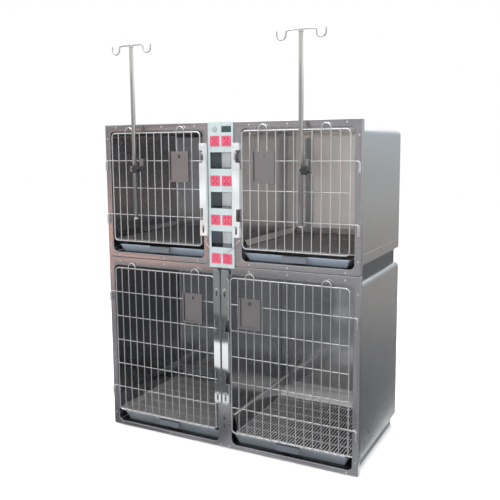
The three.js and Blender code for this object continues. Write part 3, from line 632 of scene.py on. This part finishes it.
# ------------------------------------------------------------------ trays
for key, d in DOORS.items():
    lo, hi = mm_box("tray_" + key)
    z0, z1 = lo[2], hi[2]
    x0, x1 = lo[0], hi[0]
    y0, y1 = F + 16, hi[1]
    flare, t = 18.0, 1.2
    b = Build()

    def ring(ins, z, r):
        return [(x, y, z) for x, y in rrect(x0, x1, y0, y1, r, ins, 6)]

    outside = [(flare + 40, z0), (flare + 2, z0), (flare + 0.4, z0 + 0.4), (flare - 0.6, z0 + 1.6), (2.2, z1 - 4.4), (0.9, z1 - 3.4), (0.2, z1 - 2.2), (0.2, z1 - 1.0), (0.8, z1 - 0.2), (1.8, z1), (2.8, z1 - 0.6)]
    inside = [outside[-1], (3.2, z1 - 1.8), (flare + 1.2, z0 + t + 1.2), (flare + 3, z0 + t), (flare + 40, z0 + t)]
    b.loft([ring(i, z, 9) for i, z in outside])
    # inner faces in the near-black painted-shade steel
    b.loft([ring(i, z, 9) for i, z in inside], mat=1)
    for z, flip in ((z0, True), (z0 + t, False)):
        f = ring(flare + 40, z, 9)
        b.add(f, [tuple(reversed(range(len(f)))) if flip else tuple(range(len(f)))], 0 if flip else 1)
    # pull tab: a folded strip standing off the front wall
    c = (x0 + x1) / 2
    yt = F + 4
    sec = [(yt, z1 - 26), (yt, z1 - 2.2), (yt + 0.7, z1 - 0.6), (yt + 2.2, z1), (y0 + 2.6, z1), (y0 + 2.6, z1 - 1.2), (yt + 2.4, z1 - 1.2), (yt + 1.3, z1 - 2.4), (yt + 1.2, z1 - 26)]
    b.loft([[(x, y, z) for y, z in sec] for x in (c - 53, c - 52.2, c + 52.2, c + 53)], True, False, True, True, mat=2)
    # lower trays take the darker film copy (painted shade); the inner faces take the near-black painted-shade steel
    b.make("waste_tray_" + key, [M["tray" if upper_unit(key) else "tray_painted_shade"], M["tray_inside_painted_shade"], M["tray_tab"]], "tray_" + key, ("tray_" + key,), 30, "tray_steel")

# ------------------------------------------------------------------ doors
WR = 2.4
for key, d in DOORS.items():
    s = d["s"]
    body = "door_" + key
    X = lambda x, s=s: s * x
    yh, yv, yf = F - 6.0, F - 10.3, F - 6.5
    b = Build()
    # outer wire, bent round the corners
    xa, xb = span(s, d["x0"], d["x1"])
    path = [(x, yf, z) for x, z in rrect(xa, xb, d["z0"], d["z1"], 17, 0, 8)]
    n = len(path)
    rings = []
    for i in range(n):
        t = (Vector(path[(i + 1) % n]) - Vector(path[i - 1])).normalized()
        u = Vector((t.z, 0, -t.x))
        rings.append([Vector(path[i]) + (u * math.cos(a) + Vector((0, 1, 0)) * math.sin(a)) * 3.0 for a in (2 * PI * k / 14 for k in range(14))])
    b.loft(rings, True, True)
    pitch = (d["x1"] - d["x0"]) / d["cols"]
    skip = set()
    for i in d["loops"]:
        # two uprights made of one hairpin that stands above the door
        a, c = d["x1"] - i * pitch, d["x1"] - (i + 1) * pitch
        skip |= {round(a, 3), round(c, 3)}
        mid, r = (a + c) / 2, pitch / 2
        top = d["z1"] + 24.5 - r
        pts = [(X(a), yv, d["z0"]), (X(a), yv, (d["z0"] + d["z1"]) / 2), (X(a), yv, d["z1"] + 1), (X(a), yv, top - 1)]
        pts += [(X(mid + r * math.cos(q)), yv, top + r * math.sin(q)) for q in (PI * k / 16 for k in range(17))]
        pts += [(X(c), yv, top - 1), (X(c), yv, d["z1"] + 1), (X(c), yv, (d["z0"] + d["z1"]) / 2), (X(c), yv, d["z0"])]
        b.tube(pts, WR, 12)
    for i in range(1, d["cols"]):
        x = d["x0"] + i * pitch
        if round(x, 3) in skip:
            continue
        b.tube([(X(x), yv, d["z0"] - 1.5), (X(x), yv, (d["z0"] + d["z1"]) / 2), (X(x), yv, d["z1"] + 1.5)], WR, 12)
    for j in range(1, d["rows"]):
        z = row(d, j)
        inner = d["tongue"] if j in d["tongues"] else d["x0"] - 1.5
        pts, radii = [], []
        if j in d["tongues"]:
            pts += [(X(inner), yh, z), (X(inner + 0.7), yh, z), (X(inner + 2.0), yh, z)]
            radii += [0.9, 1.9, WR]
        else:
            pts += [(X(inner), yh, z)]
            radii += [WR]
        pts += [(X((d["x0"] + d["x1"]) / 2), yh, z)]
        radii += [WR]
        if j in d["hinges"]:
            rr = 7.0
            pts += [(X(HINGE_X - rr - 1), yh, z)]
            pts += [(X(HINGE_X - rr + rr * math.sin(q)), yh, z - rr + rr * math.cos(q)) for q in (PI / 2 * k / 8 for k in range(9))]
            pts += [(X(HINGE_X), yh, z - 20), (X(HINGE_X), yh, z - 34)]
            radii += [WR] * 12
        else:
            pts += [(X(d["x1"] + 1.5), yh, z)]
            radii += [WR]
        b.tube(pts, radii, 12)
    b.make("wire_door_" + key, M["wire"], body, ("door_" + key,), 45, "wire")
    # resistance weld nuggets where the wires cross
    w = Build()
    for i in range(1, d["cols"]):
        x = X(d["x0"] + i * pitch)
        for j in range(0, d["rows"] + 1):
            z = row(d, j)
            rr = 2.9 if 0 < j < d["rows"] else 3.1
            rings = []
            for q in range(1, 6):
                a = PI * q / 6
                rings.append([(x + rr * math.sin(a) * math.cos(2 * PI * k / 8), yh - 2.2 - 1.7 * math.cos(a), z + rr * math.sin(a) * math.sin(2 * PI * k / 8)) for k in range(8)])
            w.loft(rings, True, False, True, True)
    w.make("weld_nuggets_" + key, M["wire"], body, (), 60, "wire")
    refine("card_holder_" + key, "card_pocket_" + key, M["card"], body, 0.35, 2)

# ------------------------------------------------------------------ latch bars
for key, d in DOORS.items():
    upper = key.startswith("upper")
    node = "latch_bar_" + key
    # upper bars in the latch steel, lower bars in its brighter copy (painted light)
    refine(node, "latch_channel_" + key, M["latch" if upper else "latch_painted_light"], node, 0.7, 3)
    lo, hi = mm_box(node)
    c = (lo[0] + hi[0]) / 2
    y0 = F - 24
    b = Build()
    dots = [(dx, z) for dx in (-7.5, 7.5) for z in ((1316, 1268, 1224) if upper else (786, 752, 640))]
    for dx, z in dots:
        b.lathe([(2.3, y0 + 0.3), (2.3, y0 - 0.25), (1.9, y0 - 0.55), (1.2, y0 - 0.6), (1.0, y0 - 0.15), (0.05, y0 - 0.1)], "y", (c + dx, z), 16)
    b.make("latch_rivets_" + key, M["base"], node, (), 40, "latch_steel")

# studs that the bars slide on
st = Build()
for s in (-1, 1):
    for x, zs in ((79.0, (985, 1290)), (19.5, (255, 715))):
        for z in zs:
            st.lathe([(3.0, F), (3.0, F - 25.5), (5.7, F - 25.6), (6.0, F - 26.0), (6.0, F - 27.2), (5.5, F - 27.8), (3.6, F - 28.0), (3.2, F - 27.3), (0.05, F - 27.2)], "y", (s * x, z), 24)
st.make("latch_guide_studs", M["rivet"], "cabinet", (), 35, "frame_steel")

# wire bail under the two upper bars
bail = [(-80, -0.3, 925), (-80, -9, 925), (-77, -13, 919), (-66, -14, 903), (-48, -14, 886), (-25, -14, 875), (0, -14, 871)]
bail += [(-x, y, z) for x, y, z in reversed(bail[:-1])]


def smooth(points, n=6):
    """Catmull-Rom points through a list."""
    p = [Vector(q) for q in points]
    out = []
    for i in range(len(p) - 1):
        a, b_, c, e = p[max(i - 1, 0)], p[i], p[i + 1], p[min(i + 2, len(p) - 1)]
        for k in range(n):
            t = k / n
            out.append(0.5 * ((2 * b_) + (c - a) * t + (2 * a - 5 * b_ + 4 * c - e) * t * t + (3 * b_ - a - 3 * c + e) * t**3))
    out.append(p[-1])
    return out


bw = Build()
bw.tube([(q.x, F + q.y, q.z) for q in smooth(bail)], 1.5, 12)
for s in (-1, 1):
    bw.lathe([(4.2, F - 0.1), (4.2, F - 0.9), (3.2, F - 1.6), (1.4, F - 1.9)], "y", (s * 80, 925), 20)
bw.make("service_bail", M["wire"], "cabinet", ("bail_wire",), 45, "wire")

# ------------------------------------------------------------------ service column
refine("service_panel", "column_front", M["panel"], "cabinet", 1.2, 3)
refine("display_window", "display_case", [M["bezel"]], "cabinet", 0.5, 2)
lo, hi = mm_box("display_window")
b = Build()
x0, x1, z0, z1 = lo[0] + 2.2, hi[0] - 2.2, lo[2] + 2.2, hi[2] - 2.2
b.loft([[(x, y, z) for x, z in rrect(x0, x1, z0, z1, 1.5, d, 4)] for d, y in ((0, lo[1] + 0.2), (0, lo[1] - 0.4), (0.25, lo[1] - 0.7), (0.8, lo[1] - 0.8))], True, False, False, True)
b.make("display_face", M["display"], "cabinet", (), 40, "display")
lo, hi = mm_box("call_button")
cx, cz = (lo[0] + hi[0]) / 2, (lo[2] + hi[2]) / 2
b = Build()
b.lathe([(3.2, hi[1]), (3.2, F - 0.2), (10.4, F - 0.2), (10.6, F - 0.6), (10.6, F - 7.4), (10.2, F - 8.4), (9.2, F - 9.0), (8.2, F - 8.7), (7.8, F - 8.2), (7.3, F - 8.8), (6.2, F - 9.2), (3.4, F - 9.45), (0.05, F - 9.5)], "y", (cx, cz), 40)
b.make("button_cap", M["button"], "call_button", ("call_button",), 35, "button_plastic")


def slot_outline(cx, cz, w, h, turn=0.0):
    c, s = math.cos(turn), math.sin(turn)
    return [(cx + x * c - z * s, cz + x * s + z * c) for x, z in rrect(-w / 2, w / 2, -h / 2, h / 2, min(w, h) * 0.45, 0, 3)]


for r in range(1, 5):
    for side in ("left", "right"):
        node = f"socket_{r}_{side}"
        lo, hi = mm_box(node)
        cx, cz = (lo[0] + hi[0]) / 2, (lo[2] + hi[2]) / 2
        y = lo[1]
        b = Build()
        x0, x1, z0, z1 = lo[0], hi[0], lo[2], hi[2]
        prof = [(4, hi[1]), (3, F + 1), (0, F + 0.6), (0, y + 1.4), (0.25, y + 0.5), (0.9, y + 0.1), (1.6, y)]
        rings = [[(x, yy, z) for x, z in rrect(x0, x1, z0, z1, 2.2, d, 4)] for d, yy in prof]
        b.loft(rings, True, False, True, False)
        # a shallow dished field with the contact slots in it
        f0, f1 = rrect(x0, x1, z0, z1, 2.2, 1.6, 4), rrect(x0, x1, z0, z1, 3.0, 4.6, 4)
        b.plate(f0, [f1], lambda p: (p[0], y, p[1]))
        f2 = rrect(x0, x1, z0, z1, 3.0, 5.2, 4)
        b.loft([[(x, y, z) for x, z in f1], [(x, y + 0.7, z) for x, z in f2]])
        holes = [slot_outline(cx - 7.5, cz + 10.5, 3.6, 7.5), slot_outline(cx + 7.5, cz + 10.5, 3.6, 7.5), slot_outline(cx, cz - 1.5, 3.2, 7.2), slot_outline(cx - 8.2, cz - 10.5, 3.0, 7.6, -0.5), slot_outline(cx + 8.2, cz - 10.5, 3.0, 7.6, 0.5)]
        b.plate(f2, holes, lambda p: (p[0], y + 0.7, p[1]))
        # slot walls in the near-black painted-shade plastic
        for hl in holes:
            b.loft([[(x, y + 0.7, z) for x, z in hl], [(x, y + 5.5, z) for x, z in hl]], True, False, False, True, mat=1)
        b.make("socket_module_%d_%s" % (r, side), [M["socket"], M["socket_dark"]], "cabinet", (node,), 34, "socket_plastic")
# bay liners near-black as painted shade; back plates white as a painted reflection (their emission strength is zero)
for node in ("bay_top", "bay_middle", "bay_bottom"):
    refine(node, node + "_liner", M["bay"], "cabinet", 0.45, 2)
for z in (1260.5, 1094.8, 929.2):
    lo, hi = mm_box("bay_top")
    b = Build()
    b.box(lo[0] + 1.7, hi[0] - 1.7, hi[1] - 2.2, hi[1] - 1.6, z - 32.3, z + 32.3, 0.2)
    b.make("bay_back_%d" % z, M["bay_back_painted_reflection"], "cabinet", (), 40, "bay_liner")
refine("power_inlet", "power_inlet_housing", M["inlet"], "cabinet", 0.8, 3)
lo, hi = mm_box("power_inlet")
b = Build()
for dx, dz in ((-6.5, -1.5), (0, 2.5), (6.5, -1.5)):
    b.box(dx - 0.9, dx + 0.9, B + 1.6, B + 5.2, 1200 + dz - 2.5, 1200 + dz + 2.5, 0.4)
b.make("power_inlet_pins", M["rivet"], "cabinet", (), 30, "inlet_plastic")

# rivets round the two back sheets
rb = Build()
for z0, z1 in (U_BODY, L_BODY):
    n = 3
    spots = [(x, z) for x in (-560, -280, 0, 280, 560) for z in (z0 + 26, z1 - 26)] + [(s * 585, z0 + (z1 - z0) * k / (n + 1)) for s in (-1, 1) for k in range(1, n + 1)]
    for x, z in spots:
        rb.lathe([(4.0, B - 0.9), (4.0, B - 0.45), (3.0, B - 0.2), (1.2, B - 0.02)], "y", (x, z), 16)
rb.make("back_rivets", M["rivet"], "cabinet", (), 40, "body_steel")

# ------------------------------------------------------------------ infusion poles
for side, x in (("left", -419.0), ("right", 376.0)):
    body = "iv_pole_" + side
    lo, hi = mm_box(body)
    x = (lo[0] + hi[0]) / 2
    y = POLE_Y
    z0, z1 = lo[2], hi[2]
    b = Build()
    b.lathe([(8.3, z0 + 6), (9.2, z0 + 6), (9.5, z0 + 6.4), (9.5, z1 - 0.4), (9.2, z1), (8.0, z1)], "z", (x, y), 40)
    b.make("pole_tube_" + side, M["pole"], body, (body,), 40, "pole_steel")
    b = Build()
    b.lathe([(8.2, z0 + 14), (8.2, z0 + 6.2), (9.45, z0 + 6.0), (9.45, z0 + 3.2), (8.8, z0 + 1.4), (7.0, z0 + 0.4), (3.0, z0)], "z", (x, y), 36)
    b.make("pole_foot_cap_" + side, M["cap"], body, (), 40, "pole_steel")
    # hook head: cap, cross bar and two hooks with ball ends
    zb, half, r = z1 + 11, 63.0, 19.0
    pts = [(half + 2 * r, zb + 1)] + [(half + r + r * math.cos(q), zb - 16 - r * math.sin(q)) for q in (PI * k / 8 for k in range(9))] + [(half - 0.5, zb - 5), (half - 5, zb)]
    line = [(x + u, y, z) for u, z in pts] + [(x - u, y, z) for u, z in reversed(pts)]
    dense = []
    for i in range(len(line) - 1):
        a, c = Vector(line[i]), Vector(line[i + 1])
        k = 3 if (a - c).length < 30 else 6
        dense += [a.lerp(c, q / k) for q in range(k)]
    dense.append(Vector(line[-1]))
    for _ in range(2):
        dense = [dense[0]] + [(dense[i - 1] + dense[i] * 2 + dense[i + 1]) / 4 for i in range(1, len(dense) - 1)] + [dense[-1]]
    b = Build()
    radii = [2.0, 2.8] + [3.0] * (len(dense) - 4) + [2.8, 2.0]
    b.tube(dense, radii, 14)
    b.lathe([(7.8, z1 + 0.3), (9.3, z1 + 0.5), (9.5, z1 + 1.4), (9.5, z1 + 5), (9.0, z1 + 7), (7.2, z1 + 12), (6.9, z1 + 15), (5.6, z1 + 16.6), (2.4, z1 + 17)], "z", (x, y), 36)
    b.make("hook_head_" + side, M["hook"], body, ("iv_hook_" + side,), 40, "pole_steel")
    refine("iv_clamp_" + side, "clamp_block_" + side, M["clamp"], "door_upper_" + side, 1.0, 3)
    # star knob with six lobes on its screw
    lo, hi = mm_box("iv_knob_" + side)
    kx, kz = (lo[0] + hi[0]) / 2, (lo[2] + hi[2]) / 2
    b = Build()
    ya = lo[1]
    prof = [(0.05, 0.6), (0.30, 0.2), (0.62, 0.0), (0.80, 0.5), (0.93, 1.9), (0.99, 4.2), (1.0, 7.0), (0.985, 10.2), (0.92, 12.4), (0.80, 13.6), (0.42, 14.0)]
    rings = []
    for k, dy in prof:
        lobes = 2.5 * min(1.0, k * k)
        rings.append([(kx + (18.5 * k + lobes * math.cos(6 * a)) * math.cos(a), ya + dy, kz + (18.5 * k + lobes * math.cos(6 * a)) * math.sin(a)) for a in (2 * PI * q / 72 for q in range(72))])
    b.loft(rings, True, False, True, True)
    b.lathe([(8.3, ya + 13.6), (8.0, ya + 14.5), (7.8, ya + 20), (7.2, ya + 21)], "y", (kx, kz), 32)
    b.make("star_knob_" + side, M["knob"], "iv_knob_" + side, ("iv_knob_" + side,), 45, "knob_plastic")
    b = Build()
    prof = [(3.8, ya + 20.6)]
    yy = ya + 21
    while yy < hi[1] - 1.2:
        prof += [(3.8, yy), (3.35, yy + 0.5)]
        yy += 1.0
    prof += [(3.2, hi[1] - 0.5), (2.4, hi[1])]
    b.lathe(prof, "y", (kx, kz), 24)
    b.make("knob_screw_" + side, M["clamp"], "iv_knob_" + side, (), 60, "clamp_steel")

# ------------------------------------------------------------------ stage, lights and camera
def emission(name, stops, strength=1.0, axis=2, clutter=0.0, size=0.75):
    """A studio card that glows evenly, with a vertical gradient in its own height."""
    m = bpy.data.materials.new(name)
    m.use_nodes = True
    nt = m.node_tree
    nt.nodes.clear()
    out = nt.nodes.new("ShaderNodeOutputMaterial")
    em = nt.nodes.new("ShaderNodeEmission")
    em.inputs["Strength"].default_value = strength
    tc = nt.nodes.new("ShaderNodeTexCoord")
    sp = nt.nodes.new("ShaderNodeSeparateXYZ")
    nt.links.new(tc.outputs["Generated"], sp.inputs[0])
    nt.links.new(ramp(nt, sp.outputs[axis], stops), em.inputs["Color"])
    if clutter:  # soft patches, as a room behind the camera gives
        nz = noise(nt, size, (1, 1, 1.3), 1.5, 0.5)
        nt.links.new(remap(nt, nz, strength * (1 - clutter), strength * (1 + clutter), 0.44, 0.56), em.inputs["Strength"])
    nt.links.new(em.outputs[0], out.inputs[0])
    return m


def card(name, corners, mat):
    me = bpy.data.meshes.new(name)
    me.from_pydata(corners, [], [(0, 1, 2, 3)])
    ob = bpy.data.objects.new(name, me)
    me.materials.append(mat)
    bpy.context.scene.collection.objects.link(ob)
    return ob


floor_mat, nt, p = node_tree("studio_floor")
nz = noise(nt, 3.0, (1, 1, 1), 2.0, 0.5)
nt.links.new(ramp(nt, nz, [(0.3, grey(0.92)), (0.7, grey(0.94))]), p.inputs["Base Color"])
p.inputs["Roughness"].default_value = 0.8
floor = card("floor", [(-14, -14, 0), (14, -14, 0), (14, 14, 0), (-14, 14, 0)], floor_mat)

cards = []
cards.append(card("front_card", [(-9, -7, 0.0), (9, -7, 0.0), (9, -7, 6.0), (-9, -7, 6.0)], emission("front_card", [(0.0, (0.50, 0.495, 0.505)), (0.25, (0.54, 0.535, 0.545)), (1.0, (0.62, 0.62, 0.63))], clutter=0.6, size=1.7)))
cards.append(card("front_dark_card", [(-7.6, -6.9, 0.4), (-5.0, -6.9, 0.4), (-5.0, -6.9, 2.3), (-7.6, -6.9, 2.3)], emission("front_dark_card", [(0.0, (0.20, 0.18, 0.18)), (0.5, (0.12, 0.115, 0.12)), (1.0, (0.10, 0.095, 0.10))])))
cards.append(card("floor_warm_card", [(-6.6, -6.9, 0.007), (-3.7, -6.9, 0.007), (-2.4, -3.3, 0.007), (-4.4, -3.3, 0.007)], emission("floor_warm_card", [(0.0, (2.9, 1.05, 0.58)), (0.45, (1.9, 0.95, 0.66)), (1.0, (0.62, 0.54, 0.53))], axis=0)))
cards.append(card("floor_band_card", [(-3.00, -4.6, 0.010), (-2.0, -4.6, 0.010), (-0.08, -0.62, 0.010), (-0.50, -0.62, 0.010)], emission("floor_band_card", [(0.0, (0.24, 0.245, 0.25)), (0.575, (0.18, 0.19, 0.19)), (0.585, (0.05, 0.056, 0.056)), (0.72, (0.05, 0.056, 0.056)), (0.725, (1.0, 1.0, 1.0)), (0.845, (0.84, 0.86, 0.87)), (0.85, (0.05, 0.056, 0.056)), (0.935, (0.06, 0.066, 0.066)), (0.942, (0.85, 0.87, 0.88)), (1.0, (0.5, 0.52, 0.53))], axis=1)))
cards.append(card("left_card", [(-9.6, -6.9, 0.0), (-9.6, 9.5, 0.0), (-9.6, 9.5, 5.0), (-9.6, -6.9, 5.0)], emission("left_card", [(0.0, (0.42, 0.405, 0.39)), (0.15, (0.50, 0.50, 0.50)), (1.0, (0.68, 0.71, 0.74))], clutter=0.12)))
cards.append(card("back_card", [(-9.6, 9.6, 0.0), (10.0, 9.6, 0.0), (10.0, 9.6, 5.0), (-9.6, 9.6, 5.0)], emission("back_card", [(0.0, (0.44, 0.43, 0.42)), (0.2, (0.52, 0.53, 0.53)), (1.0, (0.68, 0.71, 0.74))], clutter=0.12)))
cards.append(card("back_floor_card", [(-9.5, 0.32, 0.005), (0.62, 0.32, 0.005), (0.62, 9.4, 0.005), (-9.5, 9.4, 0.005)], emission("back_floor_card", [(0.0, (0.16, 0.165, 0.17)), (0.2, (0.30, 0.30, 0.30)), (1.0, (0.40, 0.39, 0.38))], axis=1)))
cards.append(card("left_floor_card", [(-9.5, -0.285, 0.005), (-0.64, -0.285, 0.005), (-0.64, 0.31, 0.005), (-9.5, 0.31, 0.005)], emission("left_floor_card", [(0.0, (0.40, 0.39, 0.38)), (0.8, (0.30, 0.30, 0.30)), (1.0, (0.16, 0.165, 0.17))], axis=0)))
cards.append(card("front_floor_card", [(-9, -7, 0.004), (9, -7, 0.004), (9, -0.288, 0.004), (-9, -0.288, 0.004)], emission("front_floor_card", [(0.0, (0.52, 0.53, 0.55)), (0.35, (0.50, 0.51, 0.535)), (0.65, (0.36, 0.37, 0.39)), (1.0, (0.29, 0.30, 0.32))], axis=1, clutter=0.4, size=2.2)))
cards.append(card("right_card", [(-2.5, 9.5, 0.0), (10, 1.0, 0.0), (10, 1.0, 3.4), (-2.5, 9.5, 3.4)], emission("right_card", [(0.0, (0.42, 0.405, 0.39)), (0.147, (0.47, 0.46, 0.45)), (0.294, (0.52, 0.54, 0.545)), (0.47, (0.60, 0.645, 0.68)), (1.0, (0.63, 0.68, 0.72))], clutter=0.12)))
cards.append(card("right_sky_card", [(-2.5, 9.5, 3.4), (10, 1.0, 3.4), (10, 1.0, 8.0), (-2.5, 9.5, 8.0)], emission("right_sky_card", [(0.0, (1.5, 1.55, 1.6)), (1.0, (1.7, 1.75, 1.8))])))
cards.append(card("floor_light_card", [(-0.10, -1.45, 0.011), (0.28, -1.45, 0.011), (0.30, -0.55, 0.011), (-0.04, -0.55, 0.011)], emission("floor_light_card", [(0.0, (0.46, 0.46, 0.455)), (1.0, (0.52, 0.51, 0.50))], axis=1)))
cards.append(card("side_floor_card", [(0.64, -0.25, 0.005), (9, -0.25, 0.005), (9, 9, 0.005), (0.64, 9, 0.005)], emission("side_floor_card", [(0.0, (0.13, 0.135, 0.145)), (0.12, (0.17, 0.175, 0.185)), (0.35, (0.36, 0.35, 0.34)), (1.0, (0.40, 0.385, 0.37))], axis=1)))
for c in cards:
    c.visible_camera = False
    c.visible_diffuse = False
    c.visible_shadow = False
    c.visible_transmission = False


def area(name, loc, target, size, power, color=(1, 1, 1)):
    d = bpy.data.lights.new(name, "AREA")
    d.shape = "RECTANGLE"
    d.size, d.size_y = size
    d.energy = power
    d.color = color
    ob = bpy.data.objects.new(name, d)
    ob.location = loc
    ob.rotation_euler = (Vector(target) - Vector(loc)).to_track_quat("-Z", "Y").to_euler()
    bpy.context.scene.collection.objects.link(ob)
    return ob


key = area("key", (1.4, -2.6, 3.6), (0.1, 0, 0.8), (2.4, 1.6), 60)
key.visible_glossy = False
area("overhead", (0.0, 0.4, 4.2), (0, 0.1, 0), (4.0, 3.0), 110)
fill = area("front_fill", (0.9, -3.5, 1.15), (0.0, 0, 0.85), (1.6, 1.2), 42)
left = area("fill_left", (-3.6, -1.8, 1.8), (0, 0, 0.8), (1.4, 2.2), 42, (1.0, 0.96, 0.94))

for ob in (fill, left):
    ob.visible_glossy = False

sun_data = bpy.data.lights.new("sky_fill", "SUN")
sun_data.energy = 0.45
sun_data.angle = math.radians(70)
sun = bpy.data.objects.new("sky_fill", sun_data)
sun.location = (0, 0, 5)
bpy.context.scene.collection.objects.link(sun)

world = bpy.data.worlds.new("studio")
bpy.context.scene.world = world
world.use_nodes = True
wn = world.node_tree
bg = wn.nodes["Background"]
bg.inputs["Color"].default_value = (1, 1, 1, 1)
bg.inputs["Strength"].default_value = 1.0

scene = bpy.context.scene
scene.view_settings.view_transform = "Standard"
az, el, roll = math.radians(27.1), math.radians(7.14), math.radians(-0.40)
fwd = Vector((-math.sin(az) * math.cos(el), math.cos(az) * math.cos(el), -math.sin(el)))
r0 = fwd.cross(Vector((0, 0, 1))).normalized()
u0 = r0.cross(fwd)
right = math.cos(roll) * r0 + math.sin(roll) * u0
up = -math.sin(roll) * r0 + math.cos(roll) * u0
cam_data = bpy.data.cameras.new("camera")
cam_data.sensor_width = 36.0
cam_data.lens = 658.5 * 36.0 / 500.0
cam_data.shift_x = -0.0081
cam_data.shift_y = -0.0363
cam_data.clip_start = 0.05
cam = bpy.data.objects.new("camera", cam_data)
cam.matrix_world = Matrix(((right.x, up.x, -fwd.x, 1.3784), (right.y, up.y, -fwd.y, -2.3987 - 0.287), (right.z, up.z, -fwd.z, 1.3058), (0, 0, 0, 1)))
scene.collection.objects.link(cam)
scene.camera = cam
